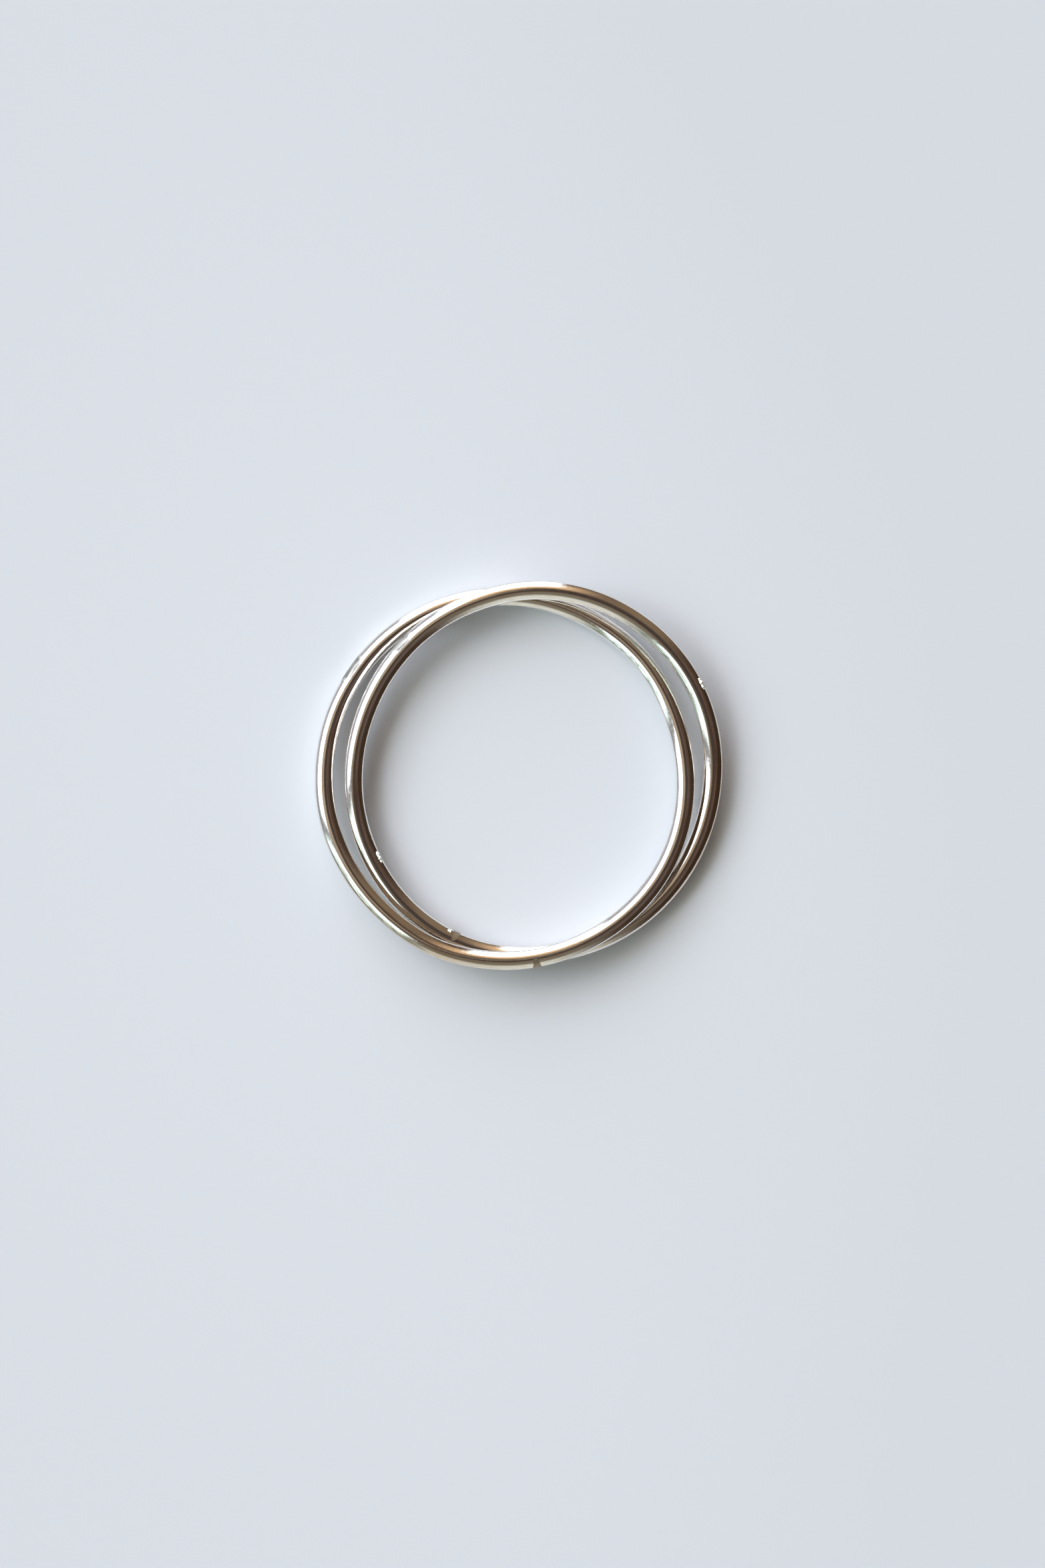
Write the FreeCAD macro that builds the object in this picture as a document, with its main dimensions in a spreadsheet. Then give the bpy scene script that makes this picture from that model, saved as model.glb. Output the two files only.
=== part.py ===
import FreeCAD, Part
import math
import os

# A linked pair of finger-ring bands, in millimetres.
#
# Each band is one length of round silver wire, bent to a closed loop and
# closed by a solder joint. The two bands pass through each other like two
# links of a chain, so they can't be parted, and lie almost one on the other.
#
# Frame: the pair rests on the plane Z = 0, +Z up. +X runs through both band
# centres, from the left band to the right band. The left band is low at +Y
# and high at -Y, the right band the other way round, so each band passes
# over the other once.
#
# A band isn't a perfect circle. Its centreline is a four-centre oval: two
# arcs at the ends of its long axis and two flatter arcs between them, all
# meeting in tangents at 45 degrees to that axis.

DIMENSIONS = {
    "wire_diameter": "1.0",
    "band_radius": "9.75",           # mean radius of a band's centreline
    "centre_spacing": "1.46",        # between the two band centres, along X
    "crossing_gap": "0.05",          # air between the wires where they cross
    "solder_width": "0.3",           # length of wire that a solder joint fills
    "solder_recess": "0.015",        # how far the joint is polished below the wire
    "left_growth": "0.107",          # long half-axis minus the mean radius
    "left_long_axis": "112",         # direction of the long axis, degrees from +X
    "left_seam": "269",              # direction of the solder joint, degrees from +X
    "right_growth": "0.148",
    "right_long_axis": "50",
    "right_seam": "235",
}

# Side of the pair: sign of X and direction of tilt about X.
SIDES = {"left": -1, "right": 1}

doc = FreeCAD.newDocument("linked_bands")


def make_sheet():
    """Write the driving dimensions, one alias for each row."""
    sheet = doc.addObject("Spreadsheet::Sheet", "dims")
    for row, (alias, value) in enumerate(DIMENSIONS.items(), start=1):
        sheet.set(f"A{row}", alias)
        sheet.set(f"B{row}", value)
        sheet.setAlias(f"B{row}", alias)
    doc.recompute()


def oval_offset(side):
    """Distance from a band's centre to each of its four arc centres."""
    return f"(dims.{side}_growth / (1 - sqrt(0.5)))"


def arc_radius(side, arc):
    """Centreline radius: end arcs (even) are tighter, side arcs (odd) flatter."""
    sign = "-" if arc % 2 == 0 else "+"
    return f"(dims.band_radius {sign} {oval_offset(side)} * sqrt(0.5))"


def half_seam(side):
    """Half the angle that the solder joint takes up in its arc."""
    return f"(asin(dims.solder_width / 2 / {arc_radius(side, 2)}))"


def seam_direction(side):
    """Direction of the joint seen from its arc's centre, in degrees."""
    return f"(dims.{side}_seam * 1deg)"


def arc_start(side, arc):
    """Direction in which an arc begins, in degrees from +X."""
    return f"(dims.{side}_long_axis * 1deg + {90 * arc - 45}deg)"


def add_bend(body, side, arc, name, start, sweep, wire_radius):
    """Add a length of bent round wire that lies on one arc of the oval."""
    bend = body.newObject("PartDesign::AdditiveTorus", name)
    bend.AttachmentSupport = (xy_plane(body), "")
    bend.MapMode = "FlatFace"
    centre = f"(dims.{side}_long_axis * 1deg - {90 * arc}deg)"
    bend.setExpression("AttachmentOffset.Base.x", f"{oval_offset(side)} * 1mm * cos({centre})")
    bend.setExpression("AttachmentOffset.Base.y", f"{oval_offset(side)} * 1mm * sin({centre})")
    bend.setExpression("AttachmentOffset.Rotation.Angle", start)
    bend.setExpression("Radius1", f"{arc_radius(side, arc)} * 1mm")
    bend.setExpression("Radius2", f"{wire_radius} * 1mm")
    bend.setExpression("Angle3", sweep)
    return bend


def xy_plane(body):
    """The body's own XY plane."""
    return next(f for f in body.Origin.OriginFeatures if f.Role == "XY_Plane")


def lay_down(body, side):
    """Tilt the body about X and lift it, so that its wire just meets Z = 0."""
    sign = SIDES[side]
    drop = "((dims.wire_diameter + dims.crossing_gap) / 2)"
    reach = f"({oval_offset(side)} * sin(dims.{side}_long_axis * 1deg) + {arc_radius(side, 0)})"
    body.Placement = FreeCAD.Placement(FreeCAD.Vector(), FreeCAD.Rotation(FreeCAD.Vector(1, 0, 0), sign))
    body.setExpression("Placement.Rotation.Angle", f"{sign} * asin({drop} / {reach})")
    body.setExpression("Placement.Base.x", f"{sign} * dims.centre_spacing / 2 * 1mm")
    body.setExpression("Placement.Base.z", f"(dims.wire_diameter / 2 + {drop}) * 1mm")


def make_wire(side):
    """The band's wire, from one face of its solder joint round to the other."""
    body = doc.addObject("PartDesign::Body", f"{side}_band_wire")
    body.Label = f"{side}_band_wire"
    radius = "(dims.wire_diameter / 2)"
    seam = seam_direction(side)
    first = f"({arc_start(side, 3)} - {seam} - {half_seam(side)})"
    last = f"({seam} - {half_seam(side)} - {arc_start(side, 2)})"
    add_bend(body, side, 2, f"{side}_first_bend", f"{seam} + {half_seam(side)}", first, radius)
    for arc in (3, 0, 1):
        add_bend(body, side, arc, f"{side}_bend_{arc}", arc_start(side, arc), "90deg", radius)
    add_bend(body, side, 2, f"{side}_last_bend", arc_start(side, 2), last, radius)
    lay_down(body, side)
    return body


def make_solder_joint(side):
    """The solder that fills the gap between the two ends of the wire."""
    body = doc.addObject("PartDesign::Body", f"{side}_band_solder_joint")
    body.Label = f"{side}_band_solder_joint"
    radius = "(dims.wire_diameter / 2 - dims.solder_recess)"
    start = f"{seam_direction(side)} - {half_seam(side)}"
    add_bend(body, side, 2, f"{side}_joint", start, f"2 * {half_seam(side)}", radius)
    lay_down(body, side)
    return body


def check(bodies):
    """Stop if anything in the document failed or a sub-part isn't one solid."""
    for item in doc.Objects:
        if {"Invalid", "Error"} & set(item.State):
            raise RuntimeError(f"{item.Label} failed: {item.State}")
    for body in bodies:
        shape = body.Shape
        if shape.isNull() or not shape.isValid() or len(shape.Solids) != 1:
            raise RuntimeError(f"{body.Label} isn't one valid solid")
        box = shape.BoundBox
        print(
            f"{body.Label}: {shape.Volume:.3f} mm3, {len(shape.Faces)} faces, "
            f"X {box.XMin:.3f} to {box.XMax:.3f}, Y {box.YMin:.3f} to {box.YMax:.3f}, "
            f"Z {box.ZMin:.3f} to {box.ZMax:.3f}"
        )


def export(bodies):
    """Write one STEP file for each sub-part, named after it."""
    os.makedirs("parts", exist_ok=True)
    for body in bodies:
        body.Shape.exportStep(f"parts/{body.Label}.step")


make_sheet()
pieces = []
for band in SIDES:
    pieces.append(make_wire(band))
    pieces.append(make_solder_joint(band))
doc.recompute()
check(pieces)
export(pieces)
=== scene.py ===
import math

import bpy
import numpy as np
from mathutils import Euler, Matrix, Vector


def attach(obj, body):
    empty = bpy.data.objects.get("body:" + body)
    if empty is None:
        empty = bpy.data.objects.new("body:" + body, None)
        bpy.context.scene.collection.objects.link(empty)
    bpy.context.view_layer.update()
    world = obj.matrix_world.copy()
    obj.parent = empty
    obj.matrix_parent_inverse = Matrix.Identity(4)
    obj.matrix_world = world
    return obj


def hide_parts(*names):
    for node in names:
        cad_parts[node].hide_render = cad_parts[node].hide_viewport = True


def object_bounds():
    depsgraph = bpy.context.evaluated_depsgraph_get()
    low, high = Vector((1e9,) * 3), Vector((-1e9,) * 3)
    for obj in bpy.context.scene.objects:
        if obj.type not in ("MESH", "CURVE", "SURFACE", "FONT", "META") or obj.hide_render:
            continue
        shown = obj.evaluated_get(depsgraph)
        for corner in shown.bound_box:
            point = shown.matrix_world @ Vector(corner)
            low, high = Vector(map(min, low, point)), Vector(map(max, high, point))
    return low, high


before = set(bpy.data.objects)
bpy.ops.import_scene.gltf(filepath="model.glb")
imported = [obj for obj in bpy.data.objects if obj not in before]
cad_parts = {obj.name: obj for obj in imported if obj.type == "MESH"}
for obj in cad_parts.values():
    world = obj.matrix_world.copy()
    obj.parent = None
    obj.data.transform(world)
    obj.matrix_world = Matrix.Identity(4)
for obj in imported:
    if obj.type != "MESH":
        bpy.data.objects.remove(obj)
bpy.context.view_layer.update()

# A linked pair of silver finger-ring bands, lying on a pale table. Metres and degrees, except
# where a function says radians. +X runs through both band centres, from the left band to the
# right band, +Z is up. A direction is an angle about a band's axis, anticlockwise from +X.
# A facing is an angle round the wire's section: 0 is outward from the band and 90 is up.

# ---- the bands, as the frame has them --------------------------------------------------
WIRE_RADIUS = 0.0005
BAND_RADIUS = 0.00975           # mean radius of a band's centreline
CENTRE_SPACING = 0.00146        # between the two band centres, along X
CROSSING_GAP = 0.00005          # air between the wires where they cross
SOLDER_WIDTH = 0.0003           # length of wire that a solder joint fills
SOLDER_RECESS = 0.000012        # how far the joint is polished below the wire
HINGE_HEIGHT = (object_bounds()[0].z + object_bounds()[1].z) / 2

# What sets each band apart:
#   sign         which way it is set off along X and leans, -1 for the left band
#   growth       what its oval's half length has above BAND_RADIUS and its half width below
#   long_axis    direction of the oval's length
#   seam         direction of its solder joint
#   seam_side    flank that shows the joint's brown mark, +1 outer or -1 inner
#   bends        where the wire runs off its oval: middle, half width, millimetres outward
#   twist        waves in how the wire is turned about its own line: degrees, waves, phase
#   fire_stains  dull grey patches on the outer side: middle, half width
#   burrs        slivers raised on a rim: middle, half length, side (+1 outer, -1 inner)
#   tarnish      where tarnish and painted shade are thickest: middle, half width
BANDS = {
    "left": {
        "sign": -1, "growth": 0.000107, "long_axis": 112.0, "seam": 269.0, "seam_side": 1,
        "bends": [
            (0, 20, -0.05), (32, 14, 0.05), (90, 20, -0.05), (135, 28, -0.08), (187, 16, 0.05),
            (236, 13, 0.08), (288, 28, -0.095)],
        "twist": [(2.0, 2, 20), (1.2, 5, 130), (0.8, 11, 40)],
        "fire_stains": [(135.2, 4.6)],
        "burrs": [],
        "tarnish_and_shade": (232.0, 30.0),
    },
    "right": {
        "sign": 1, "growth": 0.000148, "long_axis": 50.0, "seam": 235.0, "seam_side": -1,
        "bends": [
            (8, 28, 0.06), (98, 14, -0.05), (153, 32, -0.14), (200, 22, -0.08), (272, 18, -0.09)],
        "twist": [(2.2, 2, 230), (1.3, 5, 10), (0.9, 9, 85)],
        "fire_stains": [(125.8, 3.8)],
        "burrs": [(16.6, 2.1, 1), (197.0, 2.3, -1), (232.8, 1.0, -1)],
        # this tarnish is partly tarnish and partly painted shade, darkening the side away from the windows
        "tarnish_and_shade": (338.0, 48.0),
    },
}
MM_PER_M = 1000

# The wire was round, and was flattened a little where it was worked on a mandrel. A quarter
# of its section is three arcs, crown, shoulder and rim, and half of an upright flank.
ARC_ENDS = (0, 34, 43, 90)      # how far the face has turned from level at each arc's ends
ARC_RADII = (0.9, 1.9, 0.3)     # of the arcs, before the section is scaled to the wire

# ---- marks of hand work ----------------------------------------------------------------
# A burr is a thin lip that leans out from the rim on a keel sunk into the wire.
BURR_OUT = 0.00038              # from the wire's centre line to the lip's middle, sideways
BURR_UP = 0.00033               # and upward
BURR_LIFT = 0.00006             # how much higher the lip stands at its middle than at its tips
BURR_HALF_WIDTH = 0.000125
BURR_THICKNESS = 0.00002
BURR_KEEL_OUT = -0.00006        # how far the keel reaches sideways
BURR_KEEL_DOWN = 0.00017        # and down
BURR_SLOPE = 25.0               # of the lip, rising outward
BURR_RIPPLE = 0.12              # how much wider or narrower it gets along its length
BURR_RIPPLE_TURN = 9            # radians of ripple from its middle to a tip

STAIN_WIDTH_ON_RIDGE = 0.75     # share of a fire stain's half width at the top of the wire,
STAIN_WIDENING = 0.35           # and what it gains by the flank
STAIN_FADE = 2.4                # degrees over which it fades out along the wire
STAIN_STEEPNESS = 4             # how steeply it fades in round the wire
STAIN_OFFSET = 0.3              # how far outward of the ridge it starts to do so
TARNISH_AND_SHADE_INSIDE = 0.35           # share of the tarnish and painted shade that is left on the inner side
SOLDER_MARK_START = 0.05        # how far sideways the face leans where the brown mark starts
SOLDER_MARK_REACH = 0.0001      # from the joint's middle to the mark's end, near the ridge,
SOLDER_MARK_FLARE = 0.00015     # and what it gains by the flank

# ---- mesh density ----------------------------------------------------------------------
STEPS_ROUND_BAND = 1080
STEPS_ROUND_JOINT = 10
STEPS_PER_ARC = 5
BURR_POINTS = 16                # round a burr; twice as many along it, less its two tips

# ---- camera ----------------------------------------------------------------------------
CAMERA_HEIGHT = 0.30            # above the point it aims at
FIELD_HEIGHT = 0.084            # of the table that the picture's long side takes in
SENSOR_WIDTH = 36.0             # millimetres
CAMERA_TURN = -9.9              # about the upright line of sight
NEAREST_SEEN = 0.001
AIM = Vector((0.000136, -0.000459, 0.001))  # in the middle of the picture


# ---- shape -----------------------------------------------------------------------------
def bump(distance, half_width):
    """A smooth rise of height 1 that fades out beyond the half width."""
    return np.exp(-(distance / half_width) ** 2)


def apart(direction, middle):
    """How far a direction is past a middle, in degrees from -180 to 180."""
    return np.mod(direction - middle + 180, 360) - 180


def twist(band, direction):
    """How far the hand-bent wire is turned about its own line, by direction. Both in radians."""
    turn = sum(
        amount * np.sin(count * direction + math.radians(phase))
        for amount, count, phase in band["twist"])
    return np.radians(turn)


def arc_offset(band):
    """Distance from the band's centre to each of the four arc centres of its oval."""
    return band["growth"] / (1 - math.sqrt(0.5))


def centreline(band, direction):
    """Points of the hand-bent oval where its outward face has this direction, in radians."""
    long_axis = math.radians(band["long_axis"])
    arc = np.floor((direction - long_axis) / (math.pi / 2) + 0.5)
    towards_arc_centre = long_axis - arc * math.pi / 2
    end_arc = np.where(np.mod(arc, 2) == 0, 1, -1)
    radius = BAND_RADIUS - end_arc * arc_offset(band) * math.sqrt(0.5)
    for middle, half_width, outward in band["bends"]:
        bend = bump(apart(np.degrees(direction), middle), half_width)
        radius = radius + outward / MM_PER_M * bend
    x = arc_offset(band) * np.cos(towards_arc_centre) + radius * np.cos(direction)
    y = arc_offset(band) * np.sin(towards_arc_centre) + radius * np.sin(direction)
    return x, y


def section():
    """The wire's section, distances across and up, from the underside round past the outer flank."""
    across, up = [0.0], [0.0]
    for i, radius in enumerate(ARC_RADII):
        start, end = math.radians(ARC_ENDS[i]), math.radians(ARC_ENDS[i + 1])
        x, z = across[-1], up[-1]
        for k in range(1, STEPS_PER_ARC + 1):
            turn = start + (end - start) * k / STEPS_PER_ARC
            across.append(x + radius * (math.sin(turn) - math.sin(start)))
            up.append(z + radius * (math.cos(start) - math.cos(turn)))
    quarter = np.array([across, up]) * WIRE_RADIUS / across[-1]
    quarter[1] -= WIRE_RADIUS
    lower_outer = quarter
    upper_outer = quarter[:, ::-1] * [[1], [-1]]
    upper_inner = -quarter[:, 1:]
    lower_inner = quarter[:, :0:-1] * [[-1], [1]]
    return np.concatenate([lower_outer, upper_outer, upper_inner, lower_inner], axis=1)


def lay_down(band, x, y, z):
    """From the band's own plane to where the band lies: tilted about X and lifted."""
    # at the far end of its reach along Y, the wire's line is this far above or below the hinge
    drop = WIRE_RADIUS + CROSSING_GAP / 2
    end_radius = BAND_RADIUS - arc_offset(band) * math.sqrt(0.5)
    reach = arc_offset(band) * math.sin(math.radians(band["long_axis"])) + end_radius
    tilt = band["sign"] * math.asin(drop / reach)
    return np.stack([
        x + band["sign"] * CENTRE_SPACING / 2,
        y * math.cos(tilt) - z * math.sin(tilt),
        y * math.sin(tilt) + z * math.cos(tilt) + HINGE_HEIGHT], axis=-1)


def place(band, direction, out, rise):
    """Points this far outward and upward from the wire's line, at this direction in radians."""
    x, y = centreline(band, direction)
    return lay_down(band, x + out * np.cos(direction), y + out * np.sin(direction), rise)


def burr(band, middle, half_length, side):
    """Rings of points along a smooth lip of silver on the upper rim, narrow at both tips."""
    along = np.linspace(-1, 1, 2 * BURR_POINTS)[1:-1, None]
    direction = np.radians(middle + half_length * along)
    size = np.sqrt(1 - along ** 2) * (1 + BURR_RIPPLE * np.sin(BURR_RIPPLE_TURN * along))
    # an inner burr is a mirror image, so it is drawn the other way round to keep its faces outward
    turn = np.linspace(0, 2 * math.pi, BURR_POINTS, endpoint=False)[None, :] * side
    slope = math.radians(BURR_SLOPE)
    across = BURR_HALF_WIDTH * np.cos(turn)
    top = BURR_THICKNESS * np.clip(np.sin(turn), 0, 1)
    keel = np.clip(-np.sin(turn), 0, 1)
    lip_out = across * math.cos(slope) - top * math.sin(slope)
    lip_rise = across * math.sin(slope) + top * math.cos(slope)
    out = BURR_OUT + size * (lip_out + keel * BURR_KEEL_OUT)
    rise = BURR_UP + size * (BURR_LIFT + lip_rise - keel * BURR_KEEL_DOWN)
    return place(band, direction, side * out, rise)


def side_faces(rings, count, first):
    """Faces that join rings of count points each into a tube. Its points are numbered from first."""
    faces = []
    for i in range(rings - 1):
        for j in range(count):
            a, b = first + i * count + j, first + i * count + (j + 1) % count
            faces.append((a, a + count, b + count, b))
    return faces


def end_faces(start, end, count):
    """The two faces that close a tube, from the number of the first point in its end rings."""
    return [tuple(range(start, start + count)), tuple(range(end + count - 1, end - 1, -1))]


def sweep(name, band, start, end, steps, recess=0.0, burrs=()):
    """A closed length of the band's wire between two directions, in radians, with its marks."""
    direction = np.linspace(start, end, steps)[:, None]
    across, up = section()
    scale = 1 - recess / WIRE_RADIUS
    turn = -twist(band, direction)
    out = scale * (across * np.cos(turn) - up * np.sin(turn))
    rise = scale * (across * np.sin(turn) + up * np.cos(turn))
    wire = place(band, direction, out, rise)
    count = across.size

    # the flat ends have points of their own, so that shading does not run round their edges
    lid = steps * count
    faces = side_faces(steps, count, 0) + end_faces(lid, lid + count, count)
    points = [wire.reshape(-1, 3), wire[0], wire[-1]]
    facing = np.arctan2(up, across) + 0 * direction
    facings = [facing.ravel(), facing[0], facing[0]]
    directions = [
        np.broadcast_to(direction, facing.shape).ravel(), np.full(count, start), np.full(count, end)]

    # a burr lies on the ridge as far as its marks go, so that it has the ridge's finish
    first = lid + 2 * count
    for middle, half_length, side in burrs:
        sliver = burr(band, middle, half_length, side)
        rings, around = sliver.shape[:2]
        last_ring = first + (rings - 1) * around
        faces += side_faces(rings, around, first) + end_faces(first, last_ring, around)
        points.append(sliver.reshape(-1, 3))
        facings.append(np.full(rings * around, math.pi / 2))
        directions.append(np.full(rings * around, math.radians(middle)))
        first += rings * around

    mesh = bpy.data.meshes.new(name)
    mesh.from_pydata(np.concatenate(points).tolist(), [], faces)
    mesh.shade_smooth()
    add_marks(mesh, band, np.concatenate(facings), np.concatenate(directions))
    piece = bpy.data.objects.new(name, mesh)
    bpy.context.scene.collection.objects.link(piece)
    return piece


def add_marks(mesh, band, facing, direction):
    """Give every point its place on the wire and the strength of each mark there. In radians."""
    degrees = np.degrees(direction)
    outward = np.clip(np.cos(facing), 0, 1)
    upward = np.clip(np.sin(facing), 0, 1)
    off_ridge = np.clip(outward * STAIN_STEEPNESS - STAIN_OFFSET, 0, 1)
    above_flank = np.clip(upward * STAIN_STEEPNESS, 0, 1)
    stain = 0 * facing
    for middle, half_width in band["fire_stains"]:
        spread = half_width * (STAIN_WIDTH_ON_RIDGE + STAIN_WIDENING * outward)
        edge = (spread - abs(apart(degrees, middle))) / STAIN_FADE + 0.5
        stain = stain + np.clip(edge, 0, 1) * off_ridge * above_flank
    # tarnish with painted shade: strongest on the outer side, which on the right band faces away from the
    # windows
    middle, half_width = band["tarnish_and_shade"]
    tarnish_and_shade = bump(apart(degrees, middle), half_width) * np.clip(TARNISH_AND_SHADE_INSIDE + outward, 0, 1)
    lean = band["seam_side"] * np.cos(facing)
    solder_reach = np.where(lean > SOLDER_MARK_START, SOLDER_MARK_REACH + SOLDER_MARK_FLARE * lean, 0.0)
    beside_seam = apart(degrees, band["seam"]) * math.pi / 180 * BAND_RADIUS
    values = {
        "stain": stain, "tarnish_and_shade": tarnish_and_shade, "solder_reach": solder_reach, "beside_seam": beside_seam,
        "line_along": direction * BAND_RADIUS, "line_round": facing * WIRE_RADIUS}
    for key, value in values.items():
        mesh.attributes.new(key, "FLOAT", "POINT").data.foreach_set("value", value.astype(np.float32))


# ---- node helpers ----------------------------------------------------------------------
class Graph:
    """Makes and links shader nodes with short calls. A value is a number, a colour or a socket."""

    def __init__(self, owner):
        owner.use_nodes = True
        self.nodes = owner.node_tree.nodes
        self.links = owner.node_tree.links

    def put(self, socket, value):
        """Link or set one input."""
        if isinstance(value, bpy.types.NodeSocket):
            self.links.new(value, socket)
        elif isinstance(value, tuple) and socket.type == "RGBA":
            socket.default_value = (*value, 1)
        else:
            socket.default_value = value

    def node(self, kind, settings=(), **values):
        """A new node. Its inputs go by their names, with _ for a space."""
        made = self.nodes.new("ShaderNode" + kind)
        for key, value in dict(settings).items():
            setattr(made, key, value)
        for key, value in values.items():
            self.put(made.inputs[key.replace("_", " ")], value)
        return made

    def maths(self, operation, a, b=0.0):
        """One step of arithmetic, by Blender's name for it."""
        made = self.node("Math", {"operation": operation})
        self.put(made.inputs[0], a)
        self.put(made.inputs[1], b)
        return made.outputs[0]

    def ramp(self, value, low, high, start=0.0, end=1.0):
        """Goes smoothly from start to end while the value goes from low to high."""
        made = self.node(
            "MapRange", {"interpolation_type": "SMOOTHSTEP"},
            Value=value, From_Min=low, From_Max=high, To_Min=start, To_Max=end)
        return made.outputs[0]

    def blend(self, share, a, b):
        """The colour a, with this share of the colour b."""
        made = self.node("Mix", {"data_type": "RGBA"})
        self.put(made.inputs[0], share)
        colours = [socket for socket in made.inputs if socket.type == "RGBA"]
        self.put(colours[0], a)
        self.put(colours[1], b)
        return next(socket for socket in made.outputs if socket.type == "RGBA")

    def mark(self, name):
        """One of the wire's marks, as add_marks stored it."""
        return self.node("Attribute", {"attribute_name": name}).outputs["Fac"]

    def noise(self, where, scale, detail=2.0, stretch=(1, 1, 1)):
        """Smooth noise between 0 and 1, with about this many waves in a unit of length."""
        placed = self.node("Mapping", Vector=where, Scale=stretch)
        made = self.node("TexNoise", Vector=placed.outputs[0], Scale=scale, Detail=detail)
        return made.outputs[0]


# ---- materials -------------------------------------------------------------------------
# noise in the silver, in waves per metre: in space, or along the wire and round it
CLOUD_WAVES = 900
MOTTLE_WAVES = 5200
LINE_WAVES = (420, 30000, 1)
STREAK_WAVES = (900, 9000, 1)

CLOUD_FILM = 0.25               # tarnish in the clouds
MARKED_FILM_AND_SHADE = 0.6               # tarnish and painted shade where a band has most of them
STREAK_FILM = 0.35              # tarnish left in the stronger streaks
FIRE_STAIN = (0.125, 0.124, 0.114)
FIRE_STAIN_ROUGHNESS = 0.5      # added to the silver's own
SOLDER_MARK = (0.33, 0.265, 0.18)
SOLDER_MARK_COVER = 0.9
SOLDER_MARK_ROUGHNESS = 0.3     # added to the silver's own
SOLDER_MARK_RAGGED = 0.00002    # how far its edge wanders
SOLDER_MARK_EDGE = (-0.00002, 0.00003)  # how far inside the edge it starts and is full
RELIEF_DEPTH = 0.000012
RELIEF_STRENGTH = 0.2
RELIEF_LINES = 0.4              # share of the polishing lines in the relief,
RELIEF_MOTTLE = 0.6             # and of the mottle


def silver(name, colour, tarnish_and_shade_colour, smooth, rough):
    """Hand-polished silver with polishing lines, dull fire stains, tarnish, painted shade on a band's side
    away from the windows, and brown solder marks.
    """
    material = bpy.data.materials.new(name)
    graph = Graph(material)
    shader = graph.nodes["Principled BSDF"]
    shader.inputs["Metallic"].default_value = 1.0
    here = graph.node("TexCoord").outputs["Object"]
    cloud = graph.noise(here, CLOUD_WAVES, detail=3.0)
    mottle = graph.noise(here, MOTTLE_WAVES, detail=4.0)
    on_wire = graph.node("CombineXYZ", X=graph.mark("line_along"), Y=graph.mark("line_round")).outputs[0]
    lines = graph.noise(on_wire, 1.0, detail=3.0, stretch=LINE_WAVES)
    streaks = graph.noise(on_wire, 1.0, detail=2.0, stretch=STREAK_WAVES)

    cloud_film = graph.ramp(cloud, low=0.45, high=0.8, end=CLOUD_FILM)
    # the marked tarnish is partly painted shade, darkening the side away from the windows
    marked_film_and_shade = graph.maths("MULTIPLY", graph.mark("tarnish_and_shade"), MARKED_FILM_AND_SHADE)
    skin = graph.blend(graph.maths("ADD", cloud_film, marked_film_and_shade), colour, tarnish_and_shade_colour)
    skin = graph.blend(graph.ramp(streaks, low=0.52, high=0.72, end=STREAK_FILM), skin, tarnish_and_shade_colour)

    # the streaks polish a little of each stain away
    kept = graph.ramp(streaks, low=0.3, high=0.6, start=1.0, end=0.7)
    dull = graph.maths("MULTIPLY", graph.mark("stain"), kept)
    skin = graph.blend(dull, skin, FIRE_STAIN)

    from_seam = graph.maths("ABSOLUTE", graph.mark("beside_seam"))
    inside = graph.maths("SUBTRACT", graph.mark("solder_reach"), from_seam)
    wander = graph.ramp(mottle, low=0.3, high=0.7, start=-SOLDER_MARK_RAGGED, end=SOLDER_MARK_RAGGED)
    solder = graph.ramp(graph.maths("ADD", inside, wander), *SOLDER_MARK_EDGE)
    skin = graph.blend(graph.maths("MULTIPLY", solder, SOLDER_MARK_COVER), skin, SOLDER_MARK)
    graph.put(shader.inputs["Base Color"], skin)

    finish = graph.ramp(mottle, low=0.3, high=0.75, start=smooth, end=rough)
    finish = graph.maths("ADD", finish, graph.maths("MULTIPLY", dull, FIRE_STAIN_ROUGHNESS))
    finish = graph.maths("ADD", finish, graph.maths("MULTIPLY", solder, SOLDER_MARK_ROUGHNESS))
    graph.put(shader.inputs["Roughness"], finish)

    fine_lines = graph.maths("MULTIPLY", lines, RELIEF_LINES)
    relief = graph.maths("ADD", fine_lines, graph.maths("MULTIPLY", mottle, RELIEF_MOTTLE))
    surface = graph.node("Bump", Strength=RELIEF_STRENGTH, Distance=RELIEF_DEPTH, Height=relief)
    graph.put(shader.inputs["Normal"], surface.outputs[0])
    return material


# the darker colour of each serves both for tarnish and for painted shade
WIRE_SILVER = silver(
    "polished_silver", colour=(0.95, 0.925, 0.89), tarnish_and_shade_colour=(0.72, 0.58, 0.45), smooth=0.06, rough=0.13)
SOLDER_SILVER = silver(
    "solder_silver", colour=(0.88, 0.84, 0.78), tarnish_and_shade_colour=(0.60, 0.47, 0.34), smooth=0.12, rough=0.2)


def finish_piece(piece, side, material, node):
    """Give a piece its material and body, and let it stand for its CAD node."""
    piece.data.materials.append(material)
    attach(piece, f"{side}_band")
    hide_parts(f"{side}_band_{node}")


for side, band in BANDS.items():
    seam = math.radians(band["seam"])
    half_joint = math.asin(SOLDER_WIDTH / 2 / BAND_RADIUS)
    wire = sweep(
        f"{side}_band_silver", band, seam + half_joint, seam + 2 * math.pi - half_joint,
        STEPS_ROUND_BAND, burrs=band["burrs"])
    finish_piece(wire, side, WIRE_SILVER, "wire")
    joint = sweep(
        f"{side}_band_solder", band, seam - half_joint, seam + half_joint, STEPS_ROUND_JOINT, SOLDER_RECESS)
    finish_piece(joint, side, SOLDER_SILVER, "solder_joint")

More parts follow.
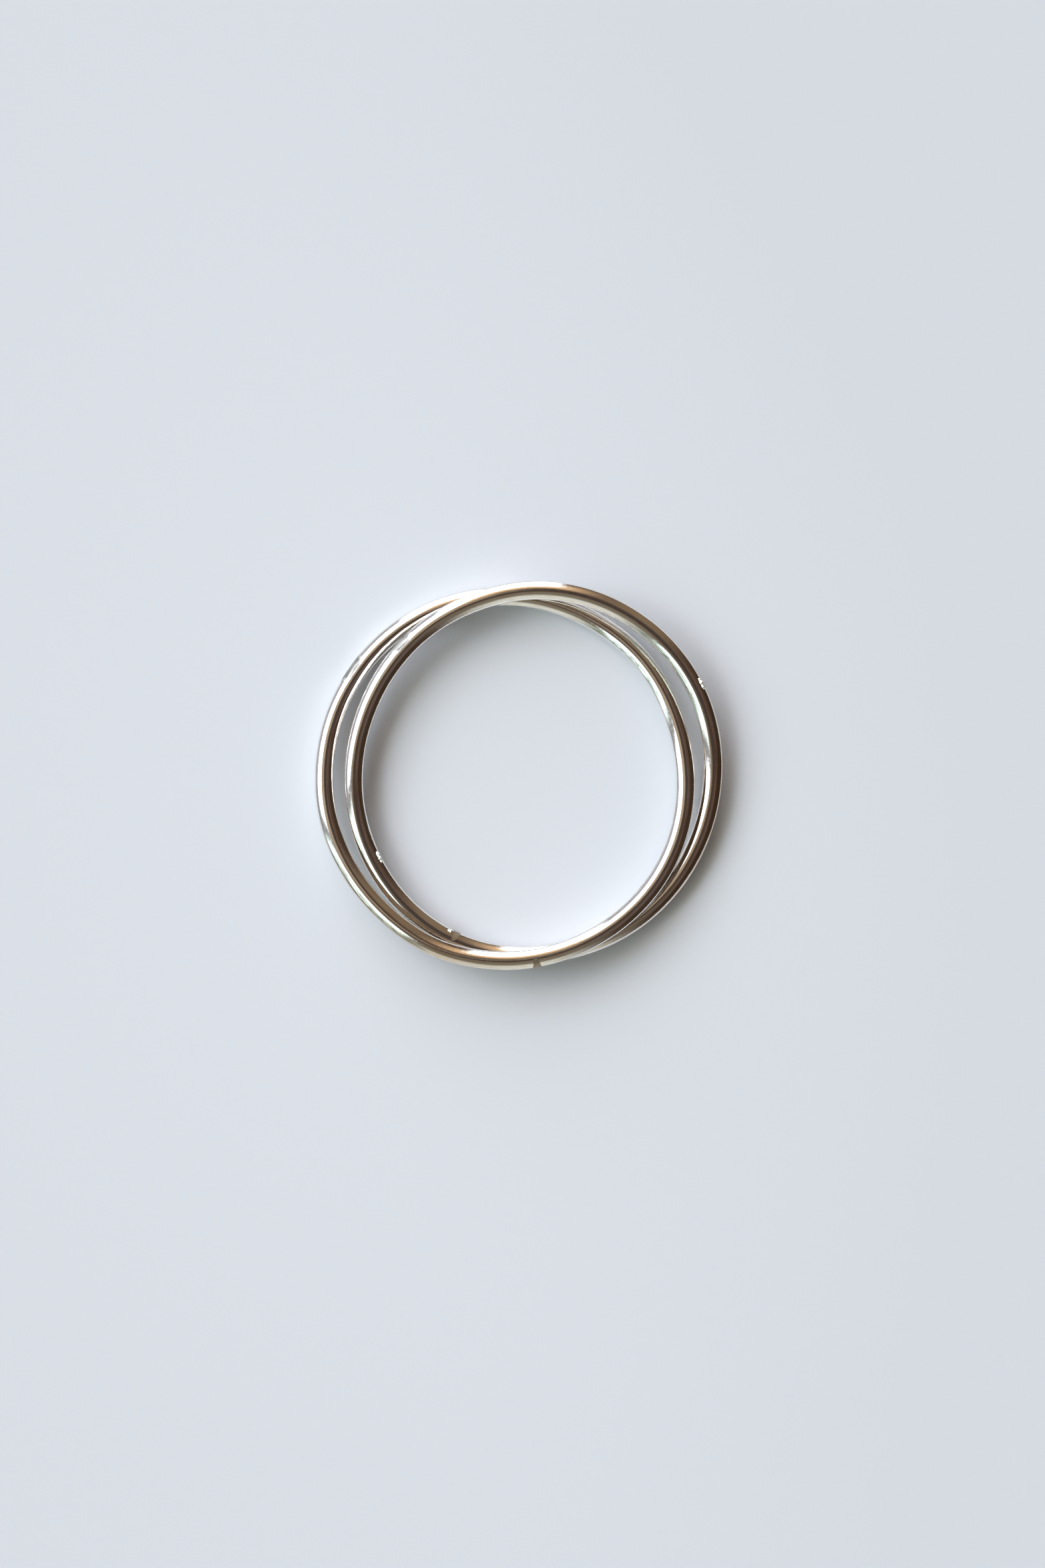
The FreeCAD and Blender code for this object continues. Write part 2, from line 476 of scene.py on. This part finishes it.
# ---- table and backdrop ----------------------------------------------------------------
TABLE_HALF = 1.0
TABLE_COLOUR = (0.712, 0.745, 0.784)
TABLE_PAINTED_FALLOFF = 0.935             # painted falloff of light: brightness of its far and right parts, against TABLE_COLOUR
TABLE_GRAIN = (0.66, 0.70, 0.76)
TABLE_GRAIN_WAVES = 2600
TABLE_ROUGHNESS = 0.8
BACKDROP_RADIUS = 0.9
BACKDROP_FOOT = -0.1
BACKDROP_TOP = 1.0
BACKDROP_SIDES = 64
BACKDROP_COLOUR = (0.70, 0.74, 0.79)


def stage_piece(name, vertices, faces, material):
    """Something around the object that is no part of it."""
    mesh = bpy.data.meshes.new(name)
    mesh.from_pydata(vertices, [], faces)
    mesh.materials.append(material)
    piece = bpy.data.objects.new(name, mesh)
    bpy.context.scene.collection.objects.link(piece)
    return piece


def table_material():
    """Smooth pale board with a very faint grain and painted falloff of light: a touch darker to the right
    and far off.
    """
    material = bpy.data.materials.new("table")
    graph = Graph(material)
    shader = graph.nodes["Principled BSDF"]
    here = graph.node("TexCoord").outputs["Object"]
    sideways = graph.node("SeparateXYZ", Vector=here).outputs[0]
    away = graph.node("VectorMath", {"operation": "LENGTH"}, Vector=here).outputs[1]
    # painted falloff of light: darker to the right and away from the middle, where the rings lie
    to_right = graph.ramp(sideways, low=-0.01, high=0.035)
    far_off = graph.ramp(away, low=0.008, high=0.05, end=0.5)
    painted_falloff_colour = tuple(TABLE_PAINTED_FALLOFF * c for c in TABLE_COLOUR)
    board = graph.blend(graph.maths("ADD", to_right, far_off), TABLE_COLOUR, painted_falloff_colour)
    grain = graph.noise(here, TABLE_GRAIN_WAVES, detail=3.0)
    board = graph.blend(graph.ramp(grain, low=0.25, high=0.75, end=0.06), board, TABLE_GRAIN)
    graph.put(shader.inputs["Base Color"], board)
    shader.inputs["Roughness"].default_value = TABLE_ROUGHNESS
    shader.inputs["Specular IOR Level"].default_value = 0.0
    return material


def backdrop_material():
    """An even pale glow."""
    material = bpy.data.materials.new("backdrop")
    graph = Graph(material)
    graph.nodes.clear()
    glow = graph.node("Emission", Color=BACKDROP_COLOUR)
    graph.node("OutputMaterial", Surface=glow.outputs[0])
    return material


corners = [(x * TABLE_HALF, y * TABLE_HALF, 0) for x, y in ((-1, -1), (1, -1), (1, 1), (-1, 1))]
stage_piece("table", corners, [(0, 1, 2, 3)], table_material())

# the backdrop is seen behind the table in low views, and lights nothing
rim = [2 * math.pi * i / BACKDROP_SIDES for i in range(BACKDROP_SIDES)]
foot = [(BACKDROP_RADIUS * math.cos(t), BACKDROP_RADIUS * math.sin(t), BACKDROP_FOOT) for t in rim]
head = [(x, y, BACKDROP_TOP) for x, y, _ in foot]
walls = [
    (i, (i + 1) % BACKDROP_SIDES, BACKDROP_SIDES + (i + 1) % BACKDROP_SIDES, BACKDROP_SIDES + i)
    for i in range(BACKDROP_SIDES)]
backdrop = stage_piece("backdrop", foot + head, walls, backdrop_material())
backdrop.visible_diffuse = False
backdrop.visible_glossy = False
backdrop.visible_transmission = False
backdrop.visible_shadow = False

# ---- the room's light ------------------------------------------------------------------
# Soft-edged areas of the room, painted one over the other. Azimuth is counted anticlockwise
# from ROOM_START, zenith from straight up. "soft" is half the width of an edge. An area that
# crosses the cut at +-180 is written as two.
ROOM_START = 170.1
ROOM_AREAS = [
    # azimuth from, to, soft; zenith from, to, soft; colour; whether leaves break it up
    ((-180, 180, 1), (-40, 15, 14), (0.058, 0.044, 0.036), False),      # ceiling
    ((-75, 20, 30), (2, 40, 10), (0.42, 0.34, 0.25), False),            # ceiling beside the window
    ((50, 120, 22), (18, 95, 14), (0.20, 0.17, 0.125), False),          # far wall
    ((50, 117, 14), (56, 120, 11), (0.68, 0.69, 0.62), False),          # far wall, low part
    ((-142, -112, 14), (26, 95, 16), (0.21, 0.15, 0.095), False),       # near wall
    ((118, 180, 20), (50, 95, 12), (0.045, 0.028, 0.017), False),       # dark furniture
    ((-180, -150, 14), (56, 95, 12), (0.045, 0.028, 0.017), False),     # its other part
    ((-106, -45, 12), (28, 70, 12), (0.95, 0.64, 0.36), False),         # warm edge of the window
    ((-66, 6, 5), (62, 110, 6), (0.42, 0.42, 0.46), False),             # wall under the window
    ((0, 20, 3), (30, 88, 8), (0.30, 0.31, 0.32), False),               # mullion
    ((-97, -60, 4), (48, 91, 6), (4.1, 4.3, 4.65), False),              # tall window, far half
    ((-64, 5, 4), (34, 69, 6), (5.1, 5.3, 5.7), False),                 # tall window, near half
    ((16, 50, 4), (33, 80, 6), (1.8, 2.15, 2.1), False),                # garden window
    ((20, 60, 6), (58, 86, 5), (0.12, 0.19, 0.15), True),               # bushes outside it
]
# the dark room behind the areas: two hues, each from its darker to its lighter clutter
REDDISH = ((0.065, 0.033, 0.021), (0.150, 0.088, 0.054))
MAUVE = ((0.055, 0.044, 0.046), (0.125, 0.100, 0.092))
CLUTTER_WAVES = 5.0             # in a unit of the view direction
HUE_WAVES = 3.0
LEAF_WAVES = 22.0


def room_colour(graph, towards, azimuth, zenith):
    """Lay the areas over the dark room."""
    clutter = graph.noise(towards, CLUTTER_WAVES, detail=3.0, stretch=(1, 1, 2))
    hue = graph.noise(towards, HUE_WAVES, detail=2.0, stretch=(1, 1, 3))
    leaves = graph.noise(towards, LEAF_WAVES, detail=2.0)
    lighter = graph.ramp(clutter, low=0.38, high=0.62)
    reddish = graph.blend(lighter, *REDDISH)
    mauve = graph.blend(lighter, *MAUVE)
    colour = graph.blend(graph.ramp(hue, low=0.42, high=0.6), reddish, mauve)
    for (left, right, soft), (top, bottom, level_soft), paint, leafy in ROOM_AREAS:
        share = graph.maths(
            "MULTIPLY",
            graph.ramp(zenith, top - level_soft, top + level_soft),
            graph.ramp(zenith, bottom - level_soft, bottom + level_soft, start=1.0, end=0.0))
        if left > -180:
            share = graph.maths("MULTIPLY", share, graph.ramp(azimuth, left - soft, left + soft))
        if right < 180:
            past_it = graph.ramp(azimuth, right - soft, right + soft, start=1.0, end=0.0)
            share = graph.maths("MULTIPLY", share, past_it)
        if leafy:
            share = graph.maths("MULTIPLY", share, graph.ramp(leaves, low=0.42, high=0.52))
        colour = graph.blend(share, colour, paint)
    return colour


def make_room():
    """A world that the silver mirrors and that lights the table, unseen by the camera itself."""
    room = bpy.data.worlds.new("room")
    bpy.context.scene.world = room
    graph = Graph(room)
    towards = graph.node("TexCoord").outputs["Generated"]
    turned = graph.node("Mapping", Vector=towards, Rotation=(0, 0, math.radians(-ROOM_START)))
    axes = graph.node("SeparateXYZ", Vector=turned.outputs[0])
    to_degrees = 180 / math.pi
    azimuth = graph.maths("MULTIPLY", graph.maths("ARCTAN2", axes.outputs[1], axes.outputs[0]), to_degrees)
    zenith = graph.maths("MULTIPLY", graph.maths("ARCCOSINE", axes.outputs[2]), to_degrees)
    graph.put(graph.nodes["Background"].inputs["Color"], room_colour(graph, towards, azimuth, zenith))
    room.cycles_visibility.camera = False


make_room()

# ---- the view --------------------------------------------------------------------------
camera = bpy.data.objects.new("camera", bpy.data.cameras.new("camera"))
bpy.context.scene.collection.objects.link(camera)
camera.data.sensor_width = SENSOR_WIDTH
camera.data.lens = SENSOR_WIDTH * CAMERA_HEIGHT / FIELD_HEIGHT
camera.location = AIM + Vector((0, 0, CAMERA_HEIGHT))
camera.rotation_euler = Euler((0, 0, math.radians(CAMERA_TURN)))
camera.data.clip_start = NEAREST_SEEN
bpy.context.scene.camera = camera
bpy.context.scene.view_settings.view_transform = "Standard"
